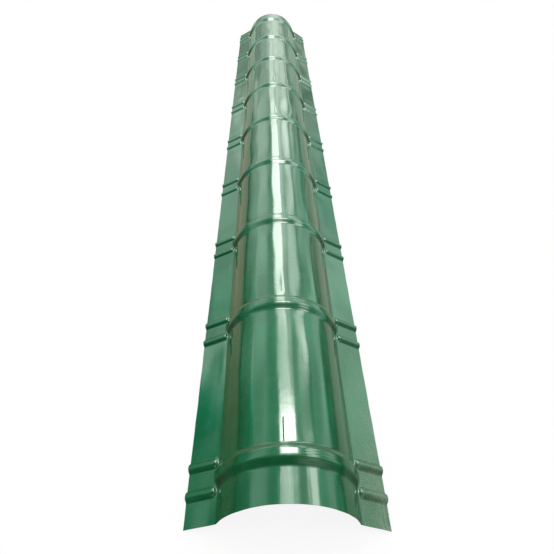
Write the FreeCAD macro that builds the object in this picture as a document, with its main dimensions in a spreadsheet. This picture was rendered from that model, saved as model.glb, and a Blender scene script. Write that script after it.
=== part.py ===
"""Half-round roof ridge cap, pressed from one sheet of colour-coated steel.

The cap is an arched barrel with a sloping flange along each side. Cross ribs are pressed into the
barrel, and at each rib two short beads cross each flange and run out through its edge.

The sheet is what lies between two press forms. The outer form has the shape of the sheet's top side,
and the inner form is the same shape one sheet thickness further in. The same functions make both.

The forms are drawn about the barrel's axis, which is their Z, with Y for the height and Z = 0 at the
first rib. The finished cap is turned so that X runs across it, Y along it and Z up. Y is 0 at mid
length, and Z is 0 where the two flange edges stand on the ground. Lengths are in millimetres and
angles in degrees.
"""

import FreeCAD, Part
import math
import os

import PartDesign
import Sketcher
from FreeCAD import Placement, Rotation, Vector

SIZES = {
    # the sheet and its section
    "cap_length": 2000.0,
    "sheet_thickness": 0.5,
    "barrel_radius": 95.0,
    "barrel_half_angle": 71.0,
    "flange_width": 48.0,
    "flange_slope": 28.0,
    "fold_radius": 4.0,
    # where the ribs are, counted from the near end, with even gaps after the first one
    "rib_count": 9,
    "near_margin": 60.0,
    "first_gap": 260.0,
    "far_margin": 70.0,
    # a cross rib of the barrel
    "rib_width": 33.0,
    "rib_height": 4.5,
    # a bead of the flange
    "bead_spacing": 38.5,
    "bead_width": 14.0,
    "bead_height": 4.5,
    "bead_setback": 2.5,
    "nose_angle": 45.0,
    # how deep the forms are, and how far the inner one runs past the sheet
    "form_depth": 40.0,
    "form_overrun": 5.0,
    "root_depth": 3.0,
    "rib_end_angle": 12.0,
}

# Worked out from the sizes: the barrel's axis stands at AXIS_HEIGHT. Seen from that axis, the top of
# a flange is a plane FLANGE_RISE away, and the fold's corner lies FOLD_REACH down the flange's slope.
TURN = "(Sizes.barrel_half_angle - Sizes.flange_slope)"
FLANGE_RISE = f"(Sizes.barrel_radius * cos({TURN}))"
FOLD_REACH = f"(Sizes.barrel_radius * sin({TURN}))"
AXIS_HEIGHT = (
    "(Sizes.sheet_thickness * cos(Sizes.flange_slope)"
    " + Sizes.flange_width * sin(Sizes.flange_slope)"
    " - Sizes.barrel_radius * cos(Sizes.barrel_half_angle))"
)
BEAD_START = (
    f"({FOLD_REACH} + Sizes.bead_setback + Sizes.bead_height / tan(Sizes.nose_angle))"
)
RIB_PITCH = (
    "((Sizes.cap_length - Sizes.near_margin - Sizes.first_gap - Sizes.far_margin)"
    " / (Sizes.rib_count - 2))"
)

ORIGIN = (-1, 1)
H_AXIS, V_AXIS = -1, -2
START, END, CENTRE = 1, 2, 3


def make_sizes(doc):
    """Writes the driving dimensions to a spreadsheet, each under its own name."""
    sheet = doc.addObject("Spreadsheet::Sheet", "Sizes")
    for row, (name, value) in enumerate(SIZES.items(), start=1):
        sheet.set(f"A{row}", name)
        sheet.set(f"B{row}", str(value))
        sheet.setAlias(f"B{row}", name)
    doc.recompute()
    return sheet


def value(body, expression):
    """The number that an expression gives."""
    return float(body.evalExpression(expression))


def origin_feature(body, role):
    """One of the body's own origin planes or axes."""
    return next(f for f in body.Origin.OriginFeatures if f.Role == role)


def new_sketch(body, name, plane, turn=0.0):
    """A sketch on one of the body's origin planes, turned about the sketch's own y axis."""
    sketch = body.newObject("Sketcher::SketchObject", name)
    sketch.AttachmentSupport = [(origin_feature(body, plane), "")]
    sketch.MapMode = "FlatFace"
    sketch.AttachmentOffset = Placement(Vector(), Rotation(Vector(0, 1, 0), turn))
    return sketch


def add_size(sketch, kind, where, name, expression):
    """Adds a dimension to a sketch and ties it to an expression."""
    unit = "deg" if kind == "Angle" else "mm"
    number = value(sketch, expression)
    if kind == "Angle":
        number = math.radians(number)
    index = sketch.addConstraint(Sketcher.Constraint(kind, *where, number))
    sketch.renameConstraint(index, name)
    sketch.setExpression(f"Constraints.{name}", f"({expression}) * 1 {unit}")


def join(sketch, *links):
    """Adds constraints between pieces of a sketch, each given as a kind and what it holds."""
    for kind, *where in links:
        sketch.addConstraint(Sketcher.Constraint(kind, *where))


def arc(centre, radius, start, end):
    """An arc of a circle, counter-clockwise from one angle to another."""
    circle = Part.Circle(Vector(*centre, 0), Vector(0, 0, 1), radius)
    return Part.ArcOfCircle(circle, math.radians(start), math.radians(end))


def line(start, end):
    """A straight line between two points of a sketch."""
    return Part.LineSegment(Vector(*start, 0), Vector(*end, 0))


def section_sketch(body, inset, reach):
    """The section of a form: the barrel, a fold and a flange on each side, and the flat underneath.

    The sketch's origin is the barrel's axis.
    """
    sketch = new_sketch(body, f"{body.Name}_section", "XY_Plane")

    slope = math.radians(value(body, "Sizes.flange_slope"))
    out = Vector(math.cos(slope), -math.sin(slope), 0)
    up = Vector(math.sin(slope), math.cos(slope), 0)
    radius = value(body, f"Sizes.barrel_radius - {inset}")
    fold = value(body, f"Sizes.fold_radius + {inset}")
    rise = value(body, f"{FLANGE_RISE} - {inset}")
    edge = value(body, f"{FOLD_REACH} + Sizes.flange_width + {reach}")
    floor = -value(body, f"Sizes.form_depth + {reach}")

    along = math.sqrt((radius + fold) ** 2 - (rise + fold) ** 2)
    centre = up * (rise + fold) + out * along
    on_barrel = math.degrees(math.atan2(centre.y, centre.x))
    on_flange = 270 - math.degrees(slope)
    foot = centre - up * fold
    corner = up * rise + out * edge
    bottom = corner - up * ((corner.y - floor) / up.y)

    def left(point):
        return (-point.x, point.y)

    def right(point):
        return (point.x, point.y)

    sketch.addGeometry(
        [
            arc((0, 0), radius, on_barrel, 180 - on_barrel),
            arc(right(centre), fold, 180 + on_barrel, on_flange),
            line(right(foot), right(corner)),
            line(right(corner), right(bottom)),
            line(right(bottom), left(bottom)),
            line(left(bottom), left(corner)),
            line(left(corner), left(foot)),
            arc(left(centre), fold, 180 - on_flange, -on_barrel),
        ],
        False,
    )
    join(
        sketch,
        ("Coincident", 0, CENTRE, *ORIGIN),
        ("Tangent", 0, START, 1, START),
        ("Tangent", 1, END, 2, START),
        ("Coincident", 2, END, 3, START),
        ("Perpendicular", 2, 3),
        ("Coincident", 3, END, 4, START),
        ("Horizontal", 4),
        ("Coincident", 4, END, 5, START),
        ("Perpendicular", 5, 6),
        ("Coincident", 5, END, 6, START),
        ("Tangent", 6, END, 7, START),
        ("Tangent", 7, END, 0, END),
        ("Equal", 1, 7),
        ("Symmetric", 2, END, 6, START, V_AXIS),
    )
    add_size(sketch, "Radius", (0,), "barrel", f"Sizes.barrel_radius - {inset}")
    add_size(sketch, "Radius", (1,), "fold", f"Sizes.fold_radius + {inset}")
    add_size(sketch, "Distance", (*ORIGIN, 2), "rise_right", f"{FLANGE_RISE} - {inset}")
    add_size(sketch, "Distance", (*ORIGIN, 6), "rise_left", f"{FLANGE_RISE} - {inset}")
    add_size(sketch, "Distance", (*ORIGIN, 3), "edge", f"{FOLD_REACH} + Sizes.flange_width + {reach}")
    add_size(sketch, "Angle", (2,), "slope", "-Sizes.flange_slope")
    add_size(sketch, "Distance", (*ORIGIN, 4), "depth", f"Sizes.form_depth + {reach}")
    return sketch


def ridge_profile(sketch, kind, base, inset):
    """Draws the profile of a pressed ridge: a slice of a round bar, sunk into the sheet's base level.

    The ridge stands up along the sketch's x axis. The chord that closes the slice lies at the root,
    inside the form.
    """
    width, height = f"Sizes.{kind}_width", f"Sizes.{kind}_height"
    outer_radius = f"({width} ^ 2 / 4 + {height} ^ 2) / (2 * {height})"
    radius = f"({outer_radius} - {inset})"
    middle = f"({base} + {height} - {outer_radius})"
    root = f"({base} - {inset} - Sizes.root_depth)"
    crown, centre, chord = (value(sketch, size) for size in (radius, middle, root))
    half = math.sqrt(crown ** 2 - (chord - centre) ** 2)
    turn = math.degrees(math.atan2(half, chord - centre))
    slice_outline = [arc((centre, 0), crown, -turn, turn), line((chord, half), (chord, -half))]
    sketch.addGeometry(slice_outline, False)
    join(
        sketch,
        ("Coincident", 0, END, 1, START),
        ("Coincident", 1, END, 0, START),
        ("PointOnObject", 0, CENTRE, H_AXIS),
        ("Vertical", 1),
    )
    add_size(sketch, "Radius", (0,), "crown", radius)
    add_size(sketch, "DistanceX", (*ORIGIN, 0, CENTRE), "middle", middle)
    add_size(sketch, "DistanceX", (*ORIGIN, 1, START), "root", root)


def barrel_axis(body):
    """The datum line that the ribs are turned about and every pattern runs along."""
    return (body.Document.getObject(f"{body.Name}_axis"), [""])


def row_of_ribs(body, name):
    """A pattern along the cap: a first gap, then an even pitch."""
    row = body.newObject("PartDesign::LinearPattern", name)
    row.Direction = barrel_axis(body)
    row.Mode = "Spacing"
    row.setExpression("Occurrences", "Sizes.rib_count")
    row.setExpression("Offset", f"{RIB_PITCH} * 1 mm")
    even_gaps = int(value(body, "Sizes.rib_count")) - 2
    row.Spacings = [value(body, "Sizes.first_gap")] + [-1.0] * even_gaps
    return row


def add_ribs(body, inset):
    """Turns the first rib about the barrel's axis and repeats it along the cap."""
    sketch = new_sketch(body, f"{body.Name}_rib_profile", "YZ_Plane")
    ridge_profile(sketch, "rib", "Sizes.barrel_radius", inset)

    rib = body.newObject("PartDesign::Revolution", f"{body.Name}_rib")
    rib.Profile = sketch
    rib.ReferenceAxis = barrel_axis(body)
    rib.Midplane = True
    rib.setExpression("Angle", "2 * (Sizes.barrel_half_angle + Sizes.rib_end_angle) * 1 deg")

    ribs = row_of_ribs(body, f"{body.Name}_ribs")
    ribs.Originals = [rib]
    body.Tip = ribs


def bead_sketch(body, start):
    """A bead's profile, square to the flange, where the bead begins to sink into its nose."""
    slope = value(body, "Sizes.flange_slope")
    sketch = new_sketch(body, f"{body.Name}_bead_profile", "YZ_Plane", -slope)
    sketch.setExpression(".AttachmentOffset.Rotation.Angle", "-Sizes.flange_slope * 1 deg")
    sketch.setExpression(".AttachmentOffset.Base.x", f"-{start} * sin(Sizes.flange_slope) * 1 mm")
    sketch.setExpression(".AttachmentOffset.Base.y", "-Sizes.bead_spacing / 2 * 1 mm")
    sketch.setExpression(".AttachmentOffset.Base.z", f"{start} * cos(Sizes.flange_slope) * 1 mm")
    return sketch


def add_beads(body, inset, reach):
    """Presses a bead across the flange, and repeats it beside each rib and on both flanges."""
    start = f"({BEAD_START} + {inset} * tan(Sizes.nose_angle / 2))"
    profile = bead_sketch(body, start)
    ridge_profile(profile, "bead", FLANGE_RISE, inset)
    bead = body.newObject("PartDesign::Pad", f"{body.Name}_bead")
    bead.Profile = profile
    bead.setExpression("Length", f"({FOLD_REACH} + Sizes.flange_width - {start} + {reach}) * 1 mm")

    nose = body.newObject("PartDesign::Pad", f"{body.Name}_bead_nose")
    nose.Profile = profile
    nose.UseCustomVector = True
    nose.AlongSketchNormal = False
    nose.setExpression("Direction.x", "-cos(Sizes.nose_angle - Sizes.flange_slope)")
    nose.setExpression("Direction.y", "-sin(Sizes.nose_angle - Sizes.flange_slope)")
    nose.setExpression("Direction.z", "0")
    nose.setExpression("Length", "(Sizes.bead_height + Sizes.root_depth) / sin(Sizes.nose_angle) * 1 mm")

    beads = body.newObject("PartDesign::MultiTransform", f"{body.Name}_beads")
    beads.Originals = [bead, nose]
    pair = body.newObject("PartDesign::LinearPattern", f"{body.Name}_bead_pair")
    pair.Direction = barrel_axis(body)
    pair.Occurrences = 2
    pair.setExpression("Length", "Sizes.bead_spacing * 1 mm")
    mirror = body.newObject("PartDesign::Mirrored", f"{body.Name}_bead_mirror")
    mirror.MirrorPlane = (origin_feature(body, "YZ_Plane"), [""])
    beads.Transformations = [pair, mirror, row_of_ribs(body, f"{body.Name}_bead_row")]
    body.Tip = beads


def make_form(doc, name, inset, reach):
    """One press form: the section as a long block, with the ribs and beads standing on it."""
    body = doc.addObject("PartDesign::Body", name)
    body.newObject("PartDesign::Line", f"{name}_axis")
    block = body.newObject("PartDesign::Pad", f"{name}_block")
    block.Profile = section_sketch(body, inset, reach)
    block.SideType = "Two sides"
    block.setExpression("Length", f"(Sizes.cap_length - Sizes.near_margin + {reach}) * 1 mm")
    block.setExpression("Length2", f"(Sizes.near_margin + {reach}) * 1 mm")
    doc.recompute()
    add_ribs(body, inset)
    add_beads(body, inset, reach)
    doc.recompute()
    return body


def check(doc, solids):
    """Stops if any object failed, or if a piece isn't one valid solid."""
    for item in doc.Objects:
        if "Invalid" in item.State or "Error" in item.State:
            raise RuntimeError(f"{item.Name} failed: {item.State}")
        if item.isDerivedFrom("Sketcher::SketchObject") and not item.FullyConstrained:
            raise RuntimeError(f"{item.Name} is not fully constrained")
    for item in solids:
        if item.Shape.isNull() or not item.Shape.isValid() or len(item.Shape.Solids) != 1:
            raise RuntimeError(f"{item.Label} is not one valid solid")


def main():
    """Builds the cap and writes it as a STEP file named after its label."""
    doc = FreeCAD.newDocument("RidgeCap")
    make_sizes(doc)
    outer = make_form(doc, "outer_form", inset="0", reach="0")
    inner = make_form(doc, "inner_form", inset="Sizes.sheet_thickness", reach="Sizes.form_overrun")
    cap = doc.addObject("Part::Cut", "ridge_cap")
    cap.Label = "ridge_cap"
    cap.Base = outer
    cap.Tool = inner
    cap.Placement = Placement(Vector(), Rotation(Vector(0, 1, 1), 180))
    cap.setExpression("Placement.Base.y", "(Sizes.near_margin - Sizes.cap_length / 2) * 1 mm")
    cap.setExpression("Placement.Base.z", f"{AXIS_HEIGHT} * 1 mm")
    doc.recompute()
    check(doc, [cap])
    os.makedirs("parts", exist_ok=True)
    cap.Shape.exportStep(f"parts/{cap.Label}.step")
    box = cap.Shape.optimalBoundingBox(False, False)
    print(f"{cap.Label}: {box.XLength:.2f} x {box.YLength:.2f} x {box.ZLength:.2f} mm,")
    print(f"from Z {box.ZMin:.3f}, {cap.Shape.Volume / 1000:.1f} cm3, {len(cap.Shape.Faces)} faces")


main()
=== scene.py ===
"""Looks of a pressed steel ridge cap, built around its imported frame.

X runs across the cap, Y along it and Z up. Every length is in metres and every angle in degrees
until it is used.
"""

import logging
import math
from dataclasses import dataclass, field
from enum import Enum

import bpy
import numpy as np
from mathutils import Matrix, Vector

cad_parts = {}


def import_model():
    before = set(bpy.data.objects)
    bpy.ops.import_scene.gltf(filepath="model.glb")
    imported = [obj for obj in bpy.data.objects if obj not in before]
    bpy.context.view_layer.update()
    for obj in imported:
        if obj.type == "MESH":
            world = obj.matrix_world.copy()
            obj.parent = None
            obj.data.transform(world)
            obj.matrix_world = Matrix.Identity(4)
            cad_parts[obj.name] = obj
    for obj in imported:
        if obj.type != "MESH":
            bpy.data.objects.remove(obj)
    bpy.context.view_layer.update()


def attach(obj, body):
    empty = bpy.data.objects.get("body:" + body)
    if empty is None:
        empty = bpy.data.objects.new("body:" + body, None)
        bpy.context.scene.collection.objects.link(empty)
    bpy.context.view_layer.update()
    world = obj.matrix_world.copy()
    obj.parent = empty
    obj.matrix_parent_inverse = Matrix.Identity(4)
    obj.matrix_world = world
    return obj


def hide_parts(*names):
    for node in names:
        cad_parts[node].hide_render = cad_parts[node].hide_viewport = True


MM = 0.001

log = logging.getLogger("ridge_cap")


class Side(Enum):
    """A side of the cap, as the sign of its X."""

    LEFT = -1
    RIGHT = 1


class Layer(Enum):
    """A surface of the sheet, as the index of its material."""

    TOP = 0
    UNDERSIDE = 1
    CUT_EDGE = 2


@dataclass(frozen=True)
class Rib:
    """The profile of a pressed cross rib: an almost flat top between two soft flanks.

    Attributes:
        width: Width at the foot.
        height: Height of the crown above the sheet.
        top: Width of the flat top.
        shift: How far the top lies beyond the rib's middle line, which makes its far flank steeper.
    """

    width: float
    height: float
    top: float
    shift: float

    def rise(self, offset: np.ndarray) -> np.ndarray:
        """Height of the rib over the sheet at distances past its middle line."""
        past = offset - self.shift
        run = (self.width - self.top) / 2 - np.sign(past) * self.shift
        way = np.clip((np.abs(past) - self.top / 2) / run, 0, 1)
        return self.height * (1 - way * way * (3 - 2 * way))


@dataclass(frozen=True)
class Bead:
    """The profile of a pressed bead: a slice of a round bar with eased feet.

    Attributes:
        width: Width at the foot.
        height: Height of the crown above the sheet.
        ease: How far the feet are rounded into the sheet.
        nose_length: Length of the rounded inner end.
    """

    width: float
    height: float
    ease: float
    nose_length: float

    @property
    def radius(self) -> float:
        """Radius of the crown's arc."""
        return (self.width ** 2 / 4 + self.height ** 2) / (2 * self.height)

    def rise(self, offset: np.ndarray) -> np.ndarray:
        """Height of the bead over the sheet.

        Args:
            offset: Distances from the bead's middle line.

        Returns:
            Heights, which fall softly to nothing past the feet.
        """
        half = self.width / 2
        middle = self.height - self.radius
        inside = np.minimum(np.abs(offset), half)
        arc = middle + np.sqrt(self.radius ** 2 - inside ** 2)
        foot_slope = half / math.sqrt(self.radius ** 2 - half ** 2)
        arc = arc - foot_slope * (np.abs(offset) - inside)
        soft = 0.5 * (arc + np.sqrt(arc ** 2 + 4 * self.ease ** 2))
        crown = 0.5 * (self.height + math.sqrt(self.height ** 2 + 4 * self.ease ** 2))
        return soft * self.height / crown


@dataclass(frozen=True)
class Wave:
    """One soft wave in the pressed sheet.

    Attributes:
        depth: Height of the wave.
        across: Waves per metre across the barrel.
        along: Waves per metre along the cap.
        phase: Where the wave starts, in turns.
    """

    depth: float
    across: float
    along: float
    phase: float

    def height(self, across: np.ndarray, along: np.ndarray) -> np.ndarray:
        """Height of the wave at places given in metres across and along."""
        turns = self.across * across + self.along * along + self.phase
        return self.depth * np.sin(2 * math.pi * turns)

    @classmethod
    def several(
        cls,
        dice: np.random.Generator,
        count: int,
        depth: tuple[float, float],
        across: tuple[float, float],
        along: tuple[float, float],
    ) -> list["Wave"]:
        """Draws some waves at random.

        Args:
            dice: The seeded source of chance.
            count: How many waves.
            depth: Least and greatest depth.
            across: Fewest and most waves per metre across.
            along: Fewest and most waves per metre along.

        Returns:
            The waves, leaning either way.
        """
        return [
            cls(
                depth=dice.uniform(*depth),
                across=dice.uniform(*across) * dice.choice((-1, 1)),
                along=dice.uniform(*along) * dice.choice((-1, 1)),
                phase=dice.uniform(0, 1),
            )
            for _ in range(count)
        ]


@dataclass
class CapSheet:
    """The cap: one pressed sheet with a barrel, two flanges, cross ribs and pairs of beads."""

    length: float = 2.0
    thickness: float = 0.5 * MM
    barrel_radius: float = 95 * MM
    barrel_half_angle: float = 71.0
    flange_width: float = 48 * MM
    flange_slope: float = 28.0
    fold_radius: float = 4 * MM
    rib_count: int = 9
    near_margin: float = 60 * MM
    first_gap: float = 260 * MM
    far_margin: float = 70 * MM
    rib: Rib = Rib(width=33 * MM, height=4.5 * MM, top=9 * MM, shift=2.2 * MM)
    bead: Bead = Bead(width=14 * MM, height=4.5 * MM, ease=0.35 * MM, nose_length=5.5 * MM)
    bead_spacing: float = 38.5 * MM
    bead_setback: float = 2.5 * MM
    edge_scallop: float = 0.5 * MM
    pucker: float = 0.7 * MM
    draw_in: float = 0.16 * MM
    draw_reach: float = 14 * MM
    rib_rows: int = 41
    rib_zone: float = 28.5 * MM
    gap_step: float = 16 * MM
    barrel_columns: int = 57
    fold_columns: int = 5
    nose_columns: int = 11
    flange_columns: int = 5
    nose_share: float = 0.24
    seed: int = 7
    waves: list[Wave] = field(default_factory=list)
    scallops: list[Wave] = field(default_factory=list)
    ripples: list[Wave] = field(default_factory=list)

    def __post_init__(self) -> None:
        """Works out the section's fixed lines and draws the sheet's soft waves."""
        slope = math.radians(self.flange_slope)
        turn = math.radians(self.barrel_half_angle - self.flange_slope)
        self.out = np.array([math.cos(slope), -math.sin(slope)])
        self.up = np.array([math.sin(slope), math.cos(slope)])
        self.flange_rise = self.barrel_radius * math.cos(turn)
        self.fold_reach = self.barrel_radius * math.sin(turn)
        self.axis_height = (
            self.thickness * math.cos(slope)
            + self.flange_width * math.sin(slope)
            - self.barrel_radius * math.cos(math.radians(self.barrel_half_angle))
        )
        dice = np.random.default_rng(self.seed)
        self.waves += Wave.several(dice, 14, (0.05 * MM, 0.15 * MM), (0, 16), (0, 7))
        self.waves += Wave.several(dice, 10, (0.02 * MM, 0.05 * MM), (22, 48), (0, 0.9))
        self.scallops += Wave.several(dice, 6, (0.1, 0.3), (0, 0), (9, 26))
        self.ripples += Wave.several(dice, 9, (0.06 * MM, 0.16 * MM), (5, 14), (1, 9))

    @property
    def ribs(self) -> np.ndarray:
        """Places of the ribs along the cap."""
        first = -self.length / 2 + self.near_margin
        second = first + self.first_gap
        last = self.length / 2 - self.far_margin
        return np.concatenate([[first], np.linspace(second, last, self.rib_count - 1)])

    def rows(self) -> np.ndarray:
        """Places of the mesh's rows along the cap, close together where something is pressed."""
        zone = np.linspace(-self.rib_zone, self.rib_zone, self.rib_rows)
        places = [np.array([-self.length / 2, self.length / 2])]
        places += [rib + zone for rib in self.ribs]
        starts = np.concatenate([[-self.length / 2], self.ribs + self.rib_zone])
        ends = np.concatenate([self.ribs - self.rib_zone, [self.length / 2]])
        for start, end in zip(starts, ends):
            steps = max(2, round((end - start) / self.gap_step))
            places.append(np.linspace(start, end, steps + 1)[1:-1])
        return np.unique(np.round(np.concatenate(places), 7))

    def past_rib(self, along: np.ndarray) -> np.ndarray:
        """How far each place lies past the middle of the nearest rib."""
        past = along[:, None] - self.ribs[None, :]
        nearest = np.argmin(np.abs(past), axis=1)
        return np.take_along_axis(past, nearest[:, None], axis=1)[:, 0]

    def nearest_rib(self, along: np.ndarray) -> np.ndarray:
        """Distance from each place to the middle of the nearest rib."""
        return np.abs(self.past_rib(along))

    def half_section(self, along: np.ndarray) -> tuple[np.ndarray, np.ndarray]:
        """The right half of the sheet's top surface.

        Args:
            along: Places of the rows.

        Returns:
            X and Z of each point, as arrays of row by column from the crown to the flange's edge.
        """
        crest = self.barrel_radius + self.rib.rise(self.past_rib(along))
        reach = self.flange_rise + self.fold_radius
        foot = np.sqrt((crest + self.fold_radius) ** 2 - reach ** 2)
        centre = self.up[None, :] * reach + self.out[None, :] * foot[:, None]
        lean = np.arctan2(centre[:, 0], centre[:, 1])

        share = np.linspace(0, 1, self.barrel_columns // 2 + 1)[None, :]
        angle = share * lean[:, None]
        barrel_x = crest[:, None] * np.sin(angle)
        barrel_z = crest[:, None] * np.cos(angle)

        slope = math.radians(self.flange_slope)
        step = np.linspace(0, 1, self.fold_columns + 1)[1:][None, :]
        facing = lean[:, None] + step * (slope - lean[:, None])
        fold_x = centre[:, :1] - self.fold_radius * np.sin(facing)
        fold_z = centre[:, 1:] - self.fold_radius * np.cos(facing)

        near = np.linspace(0, self.nose_share, self.nose_columns + 1)[1:]
        far = np.linspace(self.nose_share, 1, self.flange_columns + 1)[1:]
        share = np.concatenate([near, far])[None, :]
        edge = self.fold_reach + self.flange_width - self.scallop(along)[:, None]
        down = foot[:, None] + share * (edge - foot[:, None])
        lift = self.flange_rise + self.bead_rise(down, along) - self.pucker_sink(down, along)
        flange_x = self.up[0] * lift + self.out[0] * down
        flange_z = self.up[1] * lift + self.out[1] * down
        return (
            np.concatenate([barrel_x, fold_x, flange_x], axis=1),
            np.concatenate([barrel_z, fold_z, flange_z], axis=1),
        )

    def bead_rise(self, down: np.ndarray, along: np.ndarray) -> np.ndarray:
        """Height of the beads over the flange.

        Args:
            down: Distances down the flange's slope, row by column.
            along: Places of the rows.

        Returns:
            Heights, row by column. Each bead's inner end is rounded like a thumb.
        """
        start = self.fold_reach + self.bead_setback
        nose = np.clip((start + self.bead.nose_length - down) / self.bead.nose_length, 0, 3)
        short = nose * self.bead.width / 2
        beads = np.concatenate([self.ribs - self.bead_spacing / 2, self.ribs + self.bead_spacing / 2])
        aside = np.min(np.abs(along[:, None] - beads[None, :]), axis=1)
        return self.bead.rise(np.hypot(aside[:, None], short))

    def scallop(self, along: np.ndarray) -> np.ndarray:
        """How far the flange's edge is drawn in between the beads, at places along the cap."""
        flat = np.clip((self.nearest_rib(along) - 0.8 * self.bead_spacing) / (20 * MM), 0, 1)
        ragged = sum(wave.height(0 * along, along) for wave in self.scallops)
        return self.edge_scallop * flat * np.clip(0.5 + ragged, 0, 1)

    def pucker_sink(self, down: np.ndarray, along: np.ndarray) -> np.ndarray:
        """Depth of the soft hollows that the pressing leaves in the flange beside each pair of beads.

        Args:
            down: Distances down the flange's slope, row by column.
            along: Places of the rows.

        Returns:
            Depths, row by column, greatest near the fold.
        """
        off_pair = self.nearest_rib(along) - 0.9 * self.bead_spacing
        beside = np.exp(-((off_pair / (13 * MM)) ** 2)) * np.clip(off_pair / (4 * MM), 0, 1)
        inner = (down - self.fold_reach) / self.flange_width
        return self.pucker * beside[:, None] * np.clip(np.sin(math.pi * np.clip(inner, 0, 1) ** 0.6), 0, 1)

    def top_points(self) -> np.ndarray:
        """Points of the sheet's top surface, as an array of row, column and coordinate."""
        along = self.rows()
        half_x, half_z = self.half_section(along)
        across = np.concatenate([-half_x[:, :0:-1], half_x], axis=1)
        height = np.concatenate([half_z[:, :0:-1], half_z], axis=1)
        place = np.repeat(along[:, None], across.shape[1], axis=1)

        angle = np.arctan2(across, height)
        lean = math.radians(self.barrel_half_angle)
        on_barrel = np.clip(1.25 - 1.25 * (angle / lean) ** 4, 0, 1)
        to_rib = self.nearest_rib(along)
        calm = np.clip((to_rib - self.rib.width / 2) / (30 * MM), 0, 1)[:, None]
        soft = sum(w.height(angle * self.barrel_radius, place) for w in self.waves)
        near_rib = np.exp(-((to_rib - self.rib.width / 2) / self.draw_reach) ** 2)
        near_rib = np.where(to_rib > self.rib.width / 2, near_rib, 1)[:, None]
        sink = self.draw_in * near_rib * (0.4 + 0.6 * np.cos(2 * angle) ** 2)
        push = on_barrel * (calm * soft - calm * sink)
        ripple = self.ripple(across, height, place)
        across = across + push * np.sin(angle) + ripple * self.up[0] * np.sign(across)
        height = height + push * np.cos(angle) + ripple * self.up[1] + self.axis_height
        return np.stack([across, place, height], axis=2)

    def ripple(self, across: np.ndarray, height: np.ndarray, place: np.ndarray) -> np.ndarray:
        """Height of the flanges' soft ripples, which fade at the fold, the edge and the beads.

        Args:
            across: X of each point.
            height: Z of each point from the barrel's axis.
            place: Y of each point.

        Returns:
            Heights square to the flange.
        """
        down = np.abs(across) * self.out[0] + height * self.out[1] - self.fold_reach
        inner = np.clip((down - 3 * MM) / (9 * MM), 0, 1)
        outer = np.clip((self.flange_width - down) / (9 * MM), 0, 1)
        off_pair = self.nearest_rib(place[:, 0])[:, None] - 0.8 * self.bead_spacing
        between_pairs = np.clip(off_pair / (20 * MM), 0.2, 1)
        soft = sum(wave.height(np.sign(across) * down, place) for wave in self.ripples)
        return inner * outer * between_pairs * soft

    def pressed(self, points: np.ndarray) -> np.ndarray:
        """How far each point is pressed up, from 0 on plain sheet to 1 on a crest."""
        along = points[:, 0, 1]
        down = np.abs(points[:, :, 0]) * self.out[0] + (points[:, :, 2] - self.axis_height) * self.out[1]
        on_barrel = self.rib.rise(self.past_rib(along))[:, None] / self.rib.height
        on_flange = self.bead_rise(down, along) / self.bead.height
        return np.clip(np.where(down > self.fold_reach, on_flange, on_barrel), 0, 1)

    def crease_shade(self, points: np.ndarray) -> np.ndarray:
        """Share of the painted shade at each point, which lies low on the ribs' near flanks."""
        past = self.past_rib(points[:, 0, 1])[:, None]
        height = points[:, :, 2] - self.axis_height
        lean = np.degrees(np.abs(np.arctan2(points[:, :, 0], height)))
        low = np.clip((lean - 46) / 14, 0, 1)
        flank = np.clip((past + 19 * MM) / (5 * MM), 0, 1) * np.clip((-3 * MM - past) / (5 * MM), 0, 1)
        down = np.abs(points[:, :, 0]) * self.out[0] + height * self.out[1]
        inside = np.clip((self.fold_reach + 5 * MM - down) / (4 * MM), 0, 1)
        return low * flank * inside

    def normals(self, points: np.ndarray) -> np.ndarray:
        """Unit normals of a grid of points, kept square to Y at the cap's two ends."""
        along = np.gradient(points, axis=0)
        across = np.gradient(points, axis=1)
        normal = np.cross(across, along)
        normal[0, :, 1] = 0
        normal[-1, :, 1] = 0
        return normal / np.linalg.norm(normal, axis=2, keepdims=True)

    def build(self) -> bpy.types.Object:
        """Builds the sheet as one closed mesh.

        Returns:
            The mesh object, with a material index for each layer of the sheet.
        """
        top = self.top_points()
        under = top - self.thickness * self.normals(top)
        rows, columns = top.shape[:2]
        points = np.concatenate([top.reshape(-1, 3), under.reshape(-1, 3)])
        index = np.arange(rows * columns).reshape(rows, columns)
        below = index + rows * columns
        upper = quads(index[:-1, :-1], index[:-1, 1:], index[1:, 1:], index[1:, :-1])
        lower = quads(below[:-1, :-1], below[1:, :-1], below[1:, 1:], below[:-1, 1:])
        rim = np.concatenate(
            [
                quads(below[0, :-1], below[0, 1:], index[0, 1:], index[0, :-1]),
                quads(index[-1, :-1], index[-1, 1:], below[-1, 1:], below[-1, :-1]),
                quads(index[:-1, 0], index[1:, 0], below[1:, 0], below[:-1, 0]),
                quads(below[:-1, -1], below[1:, -1], index[1:, -1], index[:-1, -1]),
            ]
        )
        mesh = bpy.data.meshes.new("ridge_cap_sheet")
        mesh.from_pydata(points.tolist(), [], np.concatenate([upper, lower, rim]).tolist())
        layers = np.repeat(
            [Layer.TOP.value, Layer.UNDERSIDE.value, Layer.CUT_EDGE.value],
            [len(upper), len(lower), len(rim)],
        )
        mesh.polygons.foreach_set("material_index", layers.astype(np.int32))
        mesh.polygons.foreach_set("use_smooth", layers != Layer.CUT_EDGE.value)
        on_rim = np.zeros((rows, columns), bool)
        on_rim[[0, -1], :] = True
        on_rim[:, [0, -1]] = True
        on_rim = np.tile(on_rim.ravel(), 2)
        ends = np.empty(2 * len(mesh.edges), np.int32)
        mesh.edges.foreach_get("vertices", ends)
        mesh.edges.foreach_set("use_edge_sharp", on_rim[ends].reshape(-1, 2).all(axis=1))
        # pressed tells how far each point is pressed up; the second share is painted shade low on the ribs' near
        # flanks.
        for name, share in (("pressed", self.pressed(top)), ("crease_shade", self.crease_shade(top))):
            mark = mesh.attributes.new(name, "FLOAT", "POINT")
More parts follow.
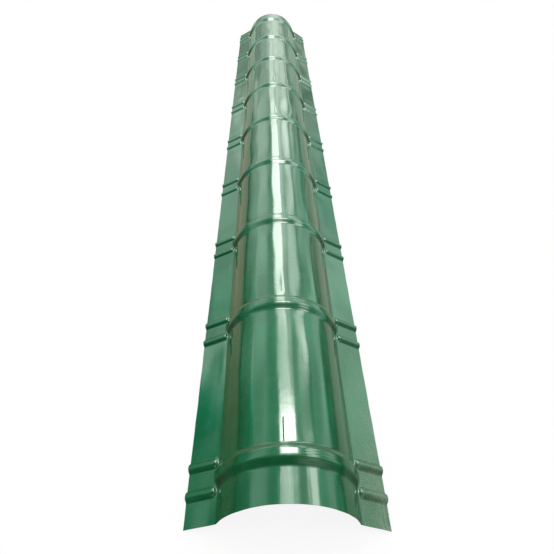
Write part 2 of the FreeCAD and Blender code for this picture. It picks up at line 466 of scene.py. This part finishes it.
            mark.data.foreach_set("value", np.tile(share.ravel(), 2).astype(np.float32))
        mesh.validate()
        mesh.update()
        sheet = bpy.data.objects.new("ridge_cap_sheet", mesh)
        bpy.context.scene.collection.objects.link(sheet)
        return sheet

    def dress(self, sheet: bpy.types.Object) -> None:
        """Gives each layer of the sheet its finish, and puts the sheet in the place of its solid."""
        pitch = (self.ribs[-1] - self.ribs[1]) / (self.rib_count - 2)
        green = GreenCoat(
            self.barrel_radius, self.axis_height, self.flange_slope, self.fold_reach, self.ribs[1], pitch
        )
        for finish in (green, BackCoat(), CutSteel()):
            sheet.data.materials.append(finish.material())
        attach(sheet, "root")
        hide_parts("ridge_cap")


def quads(*corners: np.ndarray) -> np.ndarray:
    """Four arrays of corner indices as one list of faces."""
    return np.stack([corner.ravel() for corner in corners], axis=1)


class Nodes:
    """A short way to write a material's or world's nodes."""

    def __init__(self, tree: bpy.types.NodeTree) -> None:
        """Starts from an empty tree."""
        self.tree = tree
        self.tree.nodes.clear()

    def add(self, kind: str, inputs: dict | None = None, **settings: object) -> bpy.types.Node:
        """Adds a node.

        Args:
            kind: The node's type, without its prefix.
            inputs: Values or sockets for its inputs, by name or number.
            settings: The node's own settings.

        Returns:
            The new node.
        """
        node = self.tree.nodes.new("ShaderNode" + kind)
        for name, value in settings.items():
            setattr(node, name, value)
        for name, value in (inputs or {}).items():
            if isinstance(value, bpy.types.NodeSocket):
                self.tree.links.new(value, node.inputs[name])
            else:
                node.inputs[name].default_value = value
        return node

    def math(self, operation: str, *values: object, clamp: bool = False) -> bpy.types.NodeSocket:
        """The result of a math node."""
        inputs = dict(enumerate(values))
        return self.add("Math", inputs, operation=operation, use_clamp=clamp).outputs[0]

    def between(self, value: object, low: float, high: float) -> bpy.types.NodeSocket:
        """A value as a share of the way from low to high, held between 0 and 1."""
        inputs = {"Value": value, "From Min": low, "From Max": high}
        return self.add("MapRange", inputs, interpolation_type="SMOOTHSTEP").outputs[0]

    def noise(self, place: object, scale: float, detail: float = 3.0) -> bpy.types.NodeSocket:
        """A noise of so many cells per metre."""
        inputs = {"Vector": place, "Scale": scale, "Detail": detail}
        return self.add("TexNoise", inputs).outputs["Fac"]

    def bump(self, height: object, distance: float, below: object = None) -> bpy.types.NodeSocket:
        """Relief of a height in metres, added to the relief below it."""
        inputs = {"Height": height, "Strength": 1.0, "Distance": abs(distance)}
        if below is not None:
            inputs["Normal"] = below
        return self.add("Bump", inputs, invert=distance < 0).outputs[0]

    def blend(self, share: object, one: object, other: object) -> bpy.types.NodeSocket:
        """A colour between two colours."""
        node = self.add("Mix", data_type="RGBA")
        for number, value in ((0, share), (6, one), (7, other)):
            if isinstance(value, bpy.types.NodeSocket):
                self.tree.links.new(value, node.inputs[number])
            else:
                node.inputs[number].default_value = value
        return node.outputs[2]


def new_material(name: str) -> tuple[bpy.types.Material, Nodes]:
    """A material and its empty node tree."""
    material = bpy.data.materials.new(name)
    material.use_nodes = True
    return material, Nodes(material.node_tree)


@dataclass(frozen=True)
class GreenCoat:
    """The top coat: gloss green paint over zinc, with a film of dust, and painted shade at the feet of the ribs
    and beads.

    Attributes:
        barrel_radius: Radius of the barrel, whose arc the rolling marks run along.
        axis_height: Height of the barrel's axis.
        flange_slope: Slope of the flanges.
        fold_reach: How far down the flange's slope the fold is.
        second_rib: Place of the second rib along the cap.
        pitch: Distance between the ribs from the second on.
    """

    barrel_radius: float
    axis_height: float
    flange_slope: float
    fold_reach: float
    second_rib: float
    pitch: float
    colour: tuple[float, float, float, float] = (0.0065, 0.090, 0.028, 1)
    faded: tuple[float, float, float, float] = (0.011, 0.118, 0.040, 1)
    # Colour of the painted shade at the feet of the ribs and beads and low on the ribs' near flanks.
    painted_shade_colour: tuple[float, float, float, float] = (0.004, 0.040, 0.014, 1)
    dust: tuple[float, float, float, float] = (0.30, 0.34, 0.25, 1)
    roughness: float = 0.13
    coat_roughness: float = 0.05

    def material(self) -> bpy.types.Material:
        """Makes the coat's material.

        Returns:
            A material that reads places from the object's own coordinates, in metres.
        """
        material, nodes = new_material("green_coat")
        place = nodes.add("TexCoord").outputs["Object"]
        part = nodes.add("SeparateXYZ", {0: place})
        x, y, z = part.outputs
        height = nodes.math("SUBTRACT", z, self.axis_height)
        arc = nodes.math("MULTIPLY", nodes.math("ARCTAN2", x, height), self.barrel_radius)
        pressed = nodes.add("Attribute", attribute_name="pressed").outputs["Fac"]

        slope = math.radians(self.flange_slope)
        fall = nodes.math("MULTIPLY", height, -math.sin(slope))
        down = nodes.math("MULTIPLY_ADD", x, math.cos(slope), fall)
        dust = self.film(nodes, place, down, y)
        cloud = nodes.noise(place, 9, 4)
        shade = nodes.blend(nodes.between(cloud, 0.35, 0.7), self.colour, self.faded)
        # Painted shade: the paint turns a deeper green at the feet of the ribs and beads, and more so low on the
        # ribs' near flanks, where the gloss is also dulled.
        foot = nodes.math("MULTIPLY", nodes.between(pressed, 0.01, 0.05), nodes.between(pressed, 0.3, 0.1))
        crease_shade = nodes.add("Attribute", attribute_name="crease_shade").outputs["Fac"]
        painted_shade_share = nodes.math("MAXIMUM", nodes.math("MULTIPLY", foot, 0.35), nodes.math("MULTIPLY", crease_shade, 0.85))
        shade = nodes.blend(painted_shade_share, shade, self.painted_shade_colour)
        dull = nodes.math("MULTIPLY_ADD", crease_shade, 0.9, dust)
        shader = nodes.add(
            "BsdfPrincipled",
            {
                "Base Color": nodes.blend(dust, shade, self.dust),
                "Roughness": nodes.math("MULTIPLY_ADD", dull, 0.6, self.roughness),
                "IOR": 1.5,
                "Coat Weight": nodes.math("SUBTRACT", 1.0, dull, clamp=True),
                "Coat Roughness": self.coat_roughness,
                "Coat IOR": 1.5,
            },
        )
        relief = self.relief(nodes, place, arc, y, pressed)
        nodes.tree.links.new(relief, shader.inputs["Normal"])
        nodes.tree.links.new(relief, shader.inputs["Coat Normal"])
        nodes.add("OutputMaterial", {"Surface": shader.outputs[0]})
        return material

    def film(self, nodes: Nodes, place: object, down: object, y: object) -> bpy.types.NodeSocket:
        """Share of the dust film: thick on the right flange's near end, thin elsewhere."""
        fold = self.fold_reach
        on_flange = nodes.math("MULTIPLY_ADD", nodes.between(down, fold + 0.016, fold + 0.044), 0.4, 0.6)
        on_flange = nodes.math("MULTIPLY", on_flange, nodes.between(down, fold + 0.001, fold + 0.006))
        near_end = nodes.between(y, -0.66, -0.96)
        patch = nodes.between(nodes.noise(place, 26, 5), 0.36, 0.62)
        grit = nodes.between(nodes.noise(place, 700, 2), 0.44, 0.66)
        thick = nodes.math("MULTIPLY", on_flange, near_end)
        thick = nodes.math("MULTIPLY", thick, nodes.math("MULTIPLY_ADD", patch, 0.30, 0.30))
        thick = nodes.math("MULTIPLY", thick, nodes.math("MULTIPLY_ADD", grit, 0.8, 0.5))
        thin = nodes.math("MULTIPLY", nodes.between(nodes.noise(place, 60, 4), 0.45, 0.8), 0.05)
        specks = nodes.between(nodes.noise(place, 650, 1), 0.70, 0.78)
        thin = nodes.math("MULTIPLY_ADD", specks, 0.10, thin)
        return nodes.math("ADD", thick, thin, clamp=True)

    def relief(
        self, nodes: Nodes, place: object, arc: object, y: object, pressed: object
    ) -> bpy.types.NodeSocket:
        """The paint's fine relief: rolling marks, wrinkles on the ribs, a nick, pimples and peel."""
        rolled = nodes.add("CombineXYZ", {0: nodes.math("MULTIPLY", arc, 130), 1: nodes.math("MULTIPLY", y, 3)})
        marks = nodes.noise(rolled.outputs[0], 1, 2)
        relief = nodes.bump(marks, 0.11 * MM)
        relief = nodes.bump(self.wrinkle(nodes, place, arc, y, pressed), 0.17 * MM, relief)
        relief = nodes.bump(self.flick(nodes, arc, y), -0.22 * MM, relief)

        nick = self.groove(nodes, arc, y, -0.0072, 0.0010, (-0.926, -0.886))
        relief = nodes.bump(nick, -0.8 * MM, relief)
        for line, width in ((0.1395, 0.0007), (0.1425, 0.0006)):
            fold = self.groove(nodes, arc, y, line, width, (-1.01, -0.945))
            relief = nodes.bump(fold, -0.25 * MM, relief)

        spread = nodes.add("CombineXYZ", {0: arc, 1: y})
        cells = nodes.add("TexVoronoi", {"Vector": spread.outputs[0], "Scale": 8.0}, voronoi_dimensions="2D")
        pimple = nodes.between(cells.outputs["Distance"], 0.010, 0.003)
        relief = nodes.bump(pimple, 0.25 * MM, relief)
        relief = nodes.bump(nodes.noise(place, 55, 2), 0.10 * MM, relief)
        return nodes.bump(nodes.noise(place, 600, 1), 0.0015 * MM, relief)

    def wrinkle(
        self, nodes: Nodes, place: object, arc: object, y: object, pressed: object
    ) -> bpy.types.NodeSocket:
        """Fine press lines along the ribs, right of the crown only, as a share of their depth."""
        wander = nodes.math("MULTIPLY", nodes.noise(place, 16, 1), 9.0)
        turns = nodes.math("MULTIPLY_ADD", y, 2 * math.pi / (3.6 * MM), wander)
        line = nodes.math("MULTIPLY_ADD", nodes.math("SINE", turns), 0.5, 0.5)
        beside = nodes.math("MULTIPLY", nodes.between(arc, 0.010, 0.020), nodes.between(arc, 0.064, 0.046))
        beside = nodes.math("MULTIPLY", beside, nodes.between(pressed, 0.15, 0.5))
        return nodes.math("MULTIPLY", line, beside)

    def flick(self, nodes: Nodes, arc: object, y: object) -> bpy.types.NodeSocket:
        """Shallow teardrop dents on the crown behind the ribs, as a share of their depth."""
        past = nodes.math("MULTIPLY_ADD", y, 1 / self.pitch, -self.second_rib / self.pitch)
        behind = nodes.math("MULTIPLY", nodes.math("FRACT", past), self.pitch)
        tail = nodes.math("MULTIPLY_ADD", behind, -0.05, 0.0065)
        aside = nodes.math("ABSOLUTE", nodes.math("SUBTRACT", arc, -0.0022))
        deep = nodes.math("SUBTRACT", 1.0, nodes.math("DIVIDE", aside, tail), clamp=True)
        run = nodes.math("MULTIPLY", nodes.between(behind, 0.018, 0.026), nodes.between(behind, 0.085, 0.04))
        run = nodes.math("MULTIPLY", run, nodes.between(past, -0.05, 0.0))
        return nodes.math("MULTIPLY", deep, run)

    def groove(
        self, nodes: Nodes, arc: object, y: object, line: float, width: float, run: tuple[float, float]
    ) -> bpy.types.NodeSocket:
        """A thin groove that runs along the cap.

        Args:
            nodes: The material's nodes.
            arc: Distance round the barrel from the crown.
            y: Distance along the cap.
            line: Where the groove lies round the barrel.
            width: Half the groove's width.
            run: Where it starts and ends along the cap.

        Returns:
            The groove's depth as a share.
        """
        aside = nodes.math("ABSOLUTE", nodes.math("SUBTRACT", arc, line))
        deep = nodes.between(aside, width, 0)
        ease = 0.012
        begun = nodes.between(y, run[0], run[0] + ease)
        running = nodes.between(y, run[1], run[1] - ease)
        return nodes.math("MULTIPLY", deep, nodes.math("MULTIPLY", begun, running))


@dataclass(frozen=True)
class BackCoat:
    """The underside: a thin matt grey backing coat."""

    colour: tuple[float, float, float, float] = (0.34, 0.36, 0.34, 1)
    roughness: float = 0.55

    def material(self) -> bpy.types.Material:
        """Makes the backing coat's material, a little cloudy as such a thin coat is."""
        material, nodes = new_material("grey_back_coat")
        place = nodes.add("TexCoord").outputs["Object"]
        cloud = nodes.between(nodes.noise(place, 14, 4), 0.3, 0.7)
        darker = tuple(0.82 * part for part in self.colour[:3]) + (1,)
        peel = nodes.add("Bump", {"Height": nodes.noise(place, 500, 2), "Distance": 0.00003})
        shader = nodes.add(
            "BsdfPrincipled",
            {
                "Base Color": nodes.blend(cloud, darker, self.colour),
                "Roughness": nodes.math("MULTIPLY_ADD", cloud, 0.1, self.roughness),
                "Normal": peel.outputs[0],
            },
        )
        nodes.add("OutputMaterial", {"Surface": shader.outputs[0]})
        return material


@dataclass(frozen=True)
class CutSteel:
    """The sheared edge: bare zinc-coated steel."""

    colour: tuple[float, float, float, float] = (0.10, 0.13, 0.11, 1)
    roughness: float = 0.42

    def material(self) -> bpy.types.Material:
        """Makes the cut edge's material, dull and streaked by the shear."""
        material, nodes = new_material("sheared_steel")
        place = nodes.add("TexCoord").outputs["Object"]
        streak = nodes.between(nodes.noise(place, 900, 2), 0.3, 0.7)
        darker = tuple(0.5 * part for part in self.colour[:3]) + (1,)
        shader = nodes.add(
            "BsdfPrincipled",
            {
                "Base Color": nodes.blend(streak, darker, self.colour),
                "Roughness": nodes.math("MULTIPLY_ADD", streak, 0.2, self.roughness),
                "Metallic": 0.8,
            },
        )
        nodes.add("OutputMaterial", {"Surface": shader.outputs[0]})
        return material


PLAIN = (1.0, 1.0, 0.96)
WHITE = (0.92, 1.0, 0.9)
LEAFY = (0.87, 1.0, 0.87)


@dataclass(frozen=True)
class LightStrip:
    """A long strip of light in the tent over the cap.

    Attributes:
        spread: Half its width, in degrees.
        edge: How soft its sides are, in degrees.
        tint: Its colour.
        course: Places along it, each as the place, the angle round the tent from overhead towards
            the right, and the level of its light.
    """

    spread: float
    edge: float
    tint: tuple[float, float, float]
    course: tuple[tuple[float, float, float], ...]

    def glow(self, angle: np.ndarray, along: np.ndarray) -> np.ndarray:
        """Its light at places along and round the tent, as an array of place, angle and colour."""
        places, angles, levels = zip(*self.course)
        middle = np.interp(along, places, angles)[:, None]
        level = np.interp(along, places, levels)[:, None]
        inside = self.spread + self.edge / 2 - np.abs(angle[None, :] - middle)
        inside = np.clip(inside / self.edge, 0, 1)
        soft = inside * inside * (3 - 2 * inside)
        return (soft * level)[:, :, None] * np.array(self.tint)


@dataclass(frozen=True)
class Backdrop:
    """How a reflected surface's colour changes along the cap.

    Attributes:
        places: Places along the cap, rising.
        tones: The colour at each place.
    """

    places: tuple[float, ...]
    tones: tuple[tuple[float, float, float], ...]

    def at(self, along: np.ndarray) -> np.ndarray:
        """The colour at each place, as an array of place by colour."""
        tones = np.array(self.tones)
        return np.stack([np.interp(along, self.places, tone) for tone in tones.T], axis=1)


@dataclass
class Studio:
    """The floor, the light and the camera around the cap."""

    tent_radius: float = 2.6
    tent_end: float = 12.5
    tent_middle: float = 3.2
    ground_gap: float = 131 * MM
    floor_size: float = 60.0
    floor_evenness: float = 0.88
    verge_places: tuple[float, float, float] = (0.34, 0.6, 2.6)
    verge_shade: Backdrop = Backdrop((-0.2, 0.7), ((0.35,), (1.0,)))
    near_curtain: tuple[float, float, float] = (0.45, 0.65, 0.52)
    far_curtain: tuple[float, float, float] = (0.85, 1.2, 0.95)
    sun_side: tuple[float, float, float] = (0.0, 0.54, 0.84)
    even_light: float = 0.17
    sun_light: float = 1.48
    seed: int = 3
    strips: tuple[LightStrip, ...] = (
        LightStrip(8.5, 6, WHITE, (
            (-11.0, 4, 0.8), (-7.5, 3, 2.4), (-4.6, 4, 5.0), (-3.2, 3, 0.0),
            (-1.5, -3, 0.0), (-1.0, -3, 0.1), (-0.5, -3, 0.8), (0.0, -3, 3.4), (1.3, -3, 2.7),
            (2.2, -4, 7.6), (3.6, -4, 5.6), (5.0, -4, 3.6), (6.4, -9, 1.4), (8.9, -9, 0.6), (10.2, -9, 0.2),
        )),
        LightStrip(8, 12, WHITE, (
            (-1.0, 7, 0.0), (-0.1, 7, 1.4), (1.3, 7, 2.0), (1.9, 7, 0.9), (2.8, 8, 1.2),
            (5.0, 7, 1.1), (6.4, 5, 0.5), (9.0, 5, 0.3), (10.2, 5, 0.1),
        )),
        LightStrip(8, 9, WHITE, (
            (-11.0, 34, 0.5), (-7.0, 34, 1.4), (-4.6, 36, 2.6), (-3.4, 38, 0.0),
            (-1.4, 38, 0.0), (-0.6, 38, 2.0), (-0.1, 39, 5.0), (0.2, 39, 5.6), (0.55, 36, 0.9),
            (0.85, 36, 0.7), (1.2, 39, 5.4), (1.6, 37, 3.4), (2.2, 27, 1.5), (3.6, 34, 1.6),
            (5.0, 33, 1.8), (6.4, 37, 0.7), (9.0, 38, 0.5), (10.0, 32, 0.15),
        )),
        LightStrip(12, 14, WHITE, (
            (-0.8, 18, 0.0), (0.0, 18, 0.5), (1.5, 18, 0.5), (2.2, 20, 0.9), (3.6, 18, 0.5),
            (5.0, 22, 1.0), (6.4, 20, 0.6), (10.0, 16, 0.5), (12.5, 16, 0.2),
        )),
        LightStrip(15, 16, LEAFY, (
            (-9.0, -45, 0.3), (-4.6, -45, 0.8), (-3.4, -45, 0.0),
            (-0.8, -45, 0.0), (0.0, -45, 0.7), (5.0, -45, 0.75), (6.4, -45, 0.3), (8.0, -45, 0.1),
        )),
        LightStrip(10, 12, LEAFY, (
            (-1.2, 70, 0.1), (-0.2, 70, 0.75), (0.8, 70, 0.85), (1.2, 70, 0.85), (2.2, 72, 0.45), (3.2, 72, 0.0),
        )),
        LightStrip(6, 8, LEAFY, (
            (2.5, 74, 0.0), (3.0, 73, -0.4), (3.5, 77, -0.4), (4.5, 79, -0.4), (5.5, 82, -0.2),
            (6.0, 70, 0.0), (6.5, 69, -0.25), (7.0, 70, 0.0),
        )),
        LightStrip(38, 20, WHITE, ((5.0, 8, 0.0), (6.8, 8, 0.25), (9.0, 8, 0.35), (12.0, 8, 0.3))),
        LightStrip(13, 5, PLAIN, ((0.2, 3, 0.0), (0.32, 4, 12.0), (0.62, 2, 12.0), (0.84, -1, 0.0))),
        LightStrip(9, 8, LEAFY, (
            (0.7, -76, 0.0), (1.1, -76, 0.35), (1.6, -76, 0.0), (2.2, -76, 0.0), (3.1, -76, 0.35),
            (4.4, -74, 0.25), (5.2, -76, 0.0), (6.1, -76, 0.75), (6.9, -76, 0.75), (7.6, -76, 0.1),
        )),
        LightStrip(8, 8, LEAFY, (
            (6.2, 79, 0.0), (7.4, 79, 0.3), (9.0, 79, 0.2), (11.0, 79, 0.1),
        )),
        LightStrip(22, 26, LEAFY, ((-3.2, 40, 0.7), (-1.9, 40, 0.7), (-0.9, 40, 0.0))),
        LightStrip(3, 6, LEAFY, (
            (-0.5, -58, 0.0), (-0.05, -57, 0.2), (0.3, -58, 0.0), (0.62, -58, -0.35), (0.85, -61, 0.4),
            (1.12, -61, 1.2), (1.35, -61, 0.9), (1.7, -59, -0.5), (2.1, -59, -0.35), (2.6, -59, -0.1),
            (3.1, -58, -0.3), (4.3, -60, 0.0), (5.5, -60, 0.5), (6.5, -60, 0.1), (7.7, -59, -0.1),
            (8.6, -60, 0.0),
        )),
        LightStrip(3, 6, LEAFY, (
            (-1.2, 54, 0.0), (-0.2, 54, 0.35), (1.5, 54, 0.4), (2.2, 54, 0.1), (5.0, 54, 0.8), (6.4, 55, 1.1), (7.5, 55, 0.9),
            (9.0, 55, 0.7), (10.5, 55, 0.1),
        )),
        LightStrip(15, 12, LEAFY, ((0.2, -57, 0.0), (0.5, -57, -0.4), (0.9, -57, -0.4), (1.15, -57, 0.0))),
    )
    canopy: Backdrop = Backdrop(
        (-12.0, -7.0, -3.6, -1.6, -0.3, 1.0, 2.6, 4.5, 7.0, 12.0),
        (
            (0.38, 0.50, 0.42),
            (0.34, 0.62, 0.48),
            (0.02, 0.10, 0.06),
            (0.01, 0.06, 0.04),
            (0.14, 0.70, 0.48),
            (0.28, 0.95, 0.66),
            (0.66, 1.10, 0.90),
            (0.55, 0.80, 0.68),
            (0.46, 0.62, 0.52),
            (0.38, 0.50, 0.42),
        ),
    )
    left_ground: Backdrop = Backdrop(
        (-1.4, -0.9, -0.5, 0.2, 1.6, 3.5),
        (
            (0.02, 0.07, 0.03),
            (0.07, 0.14, 0.07),
            (0.43, 0.37, 0.27),
            (0.42, 0.42, 0.32),
            (0.40, 0.49, 0.38),
            (0.45, 0.85, 0.62),
        ),
    )
    right_ground: Backdrop = Backdrop(
        (-1.4, -0.97, -0.92, -0.5, 1.6, 3.5),
        (
            (0.03, 0.10, 0.06),
            (0.16, 0.29, 0.19),
            (0.32, 0.46, 0.35),
            (0.41, 0.46, 0.37),
            (0.40, 0.49, 0.39),
            (0.45, 0.85, 0.62),
        ),
    )

    def floor(self) -> None:
        """Lays the pale floor that the cap stands on."""
        mesh = bpy.data.meshes.new("floor")
        half = self.floor_size / 2
        corners = [(-half, -half, 0), (half, -half, 0), (half, half, 0), (-half, half, 0)]
        mesh.from_pydata(corners, [], [(0, 1, 2, 3)])
        floor = bpy.data.objects.new("floor", mesh)
        bpy.context.scene.collection.objects.link(floor)
        material, nodes = new_material("pale_floor")
        lit = nodes.add("BsdfDiffuse", {"Color": (1, 1, 1, 1)})
        plain = nodes.add("Emission", {"Color": (1, 1, 1, 1), "Strength": 1.0})
        ray = nodes.add("LightPath").outputs
        seen = nodes.math("ADD", ray["Is Camera Ray"], ray["Is Glossy Ray"])
        seen = nodes.math("ADD", seen, ray["Is Transmission Ray"], clamp=True)
        share = nodes.math("MULTIPLY", seen, self.floor_evenness)
        shader = nodes.add("MixShader", {0: share, 1: lit.outputs[0], 2: plain.outputs[0]})
        nodes.add("OutputMaterial", {"Surface": shader.outputs[0]})
        mesh.materials.append(material)

    def world(self) -> None:
        """Fills the room with soft white light, more of it from above and from beyond the cap."""
        world = bpy.data.worlds.new("white_room")
        bpy.context.scene.world = world
        world.use_nodes = True
        nodes = Nodes(world.node_tree)
        towards = nodes.add("TexCoord").outputs["Generated"]
        lean = nodes.add("VectorMath", {0: towards, 1: self.sun_side}, operation="DOT_PRODUCT")
        light = nodes.math("MULTIPLY_ADD", lean.outputs["Value"], self.sun_light, self.even_light)
        light = nodes.math("MAXIMUM", light, 0.0)
        ray = nodes.add("LightPath").outputs
        seen = nodes.math("ADD", ray["Is Camera Ray"], ray["Is Glossy Ray"])
        seen = nodes.math("ADD", seen, ray["Is Transmission Ray"], clamp=True)
        unseen = nodes.math("MULTIPLY", nodes.math("SUBTRACT", 1.0, seen), light)
        shine = nodes.add("Background", {"Color": (1, 1, 1, 1), "Strength": nodes.math("ADD", seen, unseen)})
        nodes.add("OutputWorld", {"Surface": shine.outputs[0]})

    def reflector(self, name: str, points: np.ndarray, faces: np.ndarray, glow: np.ndarray) -> None:
        """A surface of the tent that only the paint's gloss sees.

        Args:
            name: The object's name.
            points: Its points.
            faces: Its faces, as point numbers.
            glow: The light that it gives at each point.
        """
        mesh = bpy.data.meshes.new(name)
        mesh.from_pydata(points.tolist(), [], faces.tolist())
        colour = mesh.color_attributes.new("glow", "FLOAT_COLOR", "POINT")
        glow = np.concatenate([glow, np.ones((len(glow), 1))], axis=1)
        colour.data.foreach_set("color", glow.astype(np.float32).ravel())
        reflector = bpy.data.objects.new(name, mesh)
        bpy.context.scene.collection.objects.link(reflector)
        material, nodes = new_material(name)
        light = nodes.add("VertexColor", layer_name="glow")
        shader = nodes.add("Emission", {"Color": light.outputs[0], "Strength": 1.0})
        nodes.add("OutputMaterial", {"Surface": shader.outputs[0]})
        mesh.materials.append(material)
        for ray in ("camera", "diffuse", "transmission", "volume_scatter", "shadow"):
            setattr(reflector, f"visible_{ray}", False)

    def tent(self) -> None:
        """Puts the light tent over the cap: strips of light that run along it, between two end curtains."""
        angle = np.linspace(-90, 90, 241)
        along = self.places()
        along = np.concatenate([along[:1], along, along[-1:]])
        radius = np.full(len(along), self.tent_radius)
        radius[[0, -1]] = 0
        light = self.tent_light(angle, along)
        across = radius[:, None] * np.sin(np.radians(angle))[None, :]
        height = radius[:, None] * np.cos(np.radians(angle))[None, :]
        place = np.repeat(along[:, None], len(angle), axis=1)
        points = np.stack([across, place, height], axis=2)
        index = np.arange(points.shape[0] * points.shape[1]).reshape(points.shape[:2])
        faces = quads(index[:-1, :-1], index[:-1, 1:], index[1:, 1:], index[1:, :-1])
        self.reflector("light_tent", points.reshape(-1, 3), faces, light.reshape(-1, 3))

    def places(self) -> np.ndarray:
        """Places of the tent's rows along it, close together over the cap."""
        middle = np.linspace(-self.tent_middle, self.tent_middle, 65)
        far = np.linspace(self.tent_middle, self.tent_end, 41)[1:]
        return np.concatenate([-far[::-1], middle, far])

    def tent_light(self, angle: np.ndarray, along: np.ndarray) -> np.ndarray:
        """The tent's light.

        Args:
            angle: Angles round the tent, in degrees from overhead.
            along: Places along the tent.

        Returns:
            Colours, as an array of place, angle and colour.
        """
        far = np.clip((np.abs(along) - 3) / 4, 0, 1)[:, None]
        left = np.clip((angle + 86) / 22, 0, 1)[None, :]
        right = np.clip((90 - angle) / 9, 0, 1)[None, :]
        open_side = left * right + 0.6 * (1 - left * right) * far
        flank = 1 - 0.35 * far * np.clip((np.abs(angle) - 42) / 16, 0, 1)[None, :]
        dice = np.random.default_rng(self.seed)
        dapples = Wave.several(dice, 9, (0.04, 0.10), (0.01, 0.05), (0.1, 1.1))
        dapple = 1 + sum(wave.height(angle[None, :], along[:, None]) for wave in dapples)
        light = self.canopy.at(along)[:, None, :] * (flank * dapple)[:, :, None]
        light = light + sum(strip.glow(angle, along) for strip in self.strips)
        light = np.maximum(light * open_side[:, :, None], 0.005)
        light[0], light[-1] = self.near_curtain, self.far_curtain
        return light

    def ground(self) -> None:
        """Lays the earth-coloured boards beside the cap that its lower sides reflect."""
        level = 0.05 * MM
        along = self.places()
        near, verge = np.ones((len(along), 1)), self.verge_shade.at(along)
        shade = np.concatenate([near, near, verge, verge])
        for side, tones in ((Side.LEFT, self.left_ground), (Side.RIGHT, self.right_ground)):
            inner = np.where(np.abs(along) < 1.0, self.ground_gap, 0.0)
            rows = [inner] + [np.full_like(along, verge) for verge in self.verge_places]
            points = np.concatenate(
                [np.stack([side.value * row, along, np.full_like(along, level)], axis=1) for row in rows]
            )
            index = np.arange(len(points)).reshape(len(rows), -1)
            faces = quads(index[:-1, :-1], index[1:, :-1], index[1:, 1:], index[:-1, 1:])
            glow = tones.at(points[:, 1]) * shade
            self.reflector(f"ground_board_{side.name.lower()}", points, faces, glow)

    def build(self) -> None:
        """Builds the floor, the light and the camera."""
        self.floor()
        self.world()
        self.tent()
        self.ground()
        Viewpoint().build()


@dataclass(frozen=True)
class Viewpoint:
    """The photograph's viewpoint."""

    place: tuple[float, float, float] = (-0.0420, -1.2145, 0.6348)
    heading: float = 1.63
    tilt: float = 44.03
    roll: float = 1.97
    lens: float = 30.66
    shift: tuple[float, float] = (0.0166, 0.0196)

    def build(self) -> None:
        """Places the camera and makes it the scene's own."""
        heading, tilt, roll = (math.radians(a) for a in (self.heading, self.tilt, self.roll))
        ahead = Vector(
            (
                math.sin(heading) * math.cos(tilt),
                math.cos(heading) * math.cos(tilt),
                -math.sin(tilt),
            )
        )
        level = Vector((math.cos(heading), -math.sin(heading), 0))
        upward = level.cross(ahead)
        right = level * math.cos(roll) + upward * math.sin(roll)
        top = -level * math.sin(roll) + upward * math.cos(roll)
        lens = bpy.data.cameras.new("camera")
        lens.lens = self.lens
        lens.shift_x, lens.shift_y = self.shift
        camera = bpy.data.objects.new("camera", lens)
        frame = Matrix((right, top, -ahead)).transposed().to_4x4()
        frame.translation = Vector(self.place)
        camera.matrix_world = frame
        bpy.context.scene.collection.objects.link(camera)
        bpy.context.scene.camera = camera


def main() -> None:
    """Builds the cap and the studio."""
    logging.basicConfig(level=logging.INFO, format="%(name)s: %(message)s")
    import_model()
    cap = CapSheet()
    sheet = cap.build()
    cap.dress(sheet)
    log.info("%s: %d faces", sheet.name, len(sheet.data.polygons))
    Studio().build()
    bpy.context.scene.view_settings.view_transform = "Standard"
    log.info("studio: floor, tent, ground boards and camera")


if __name__ == "__main__":
    main()
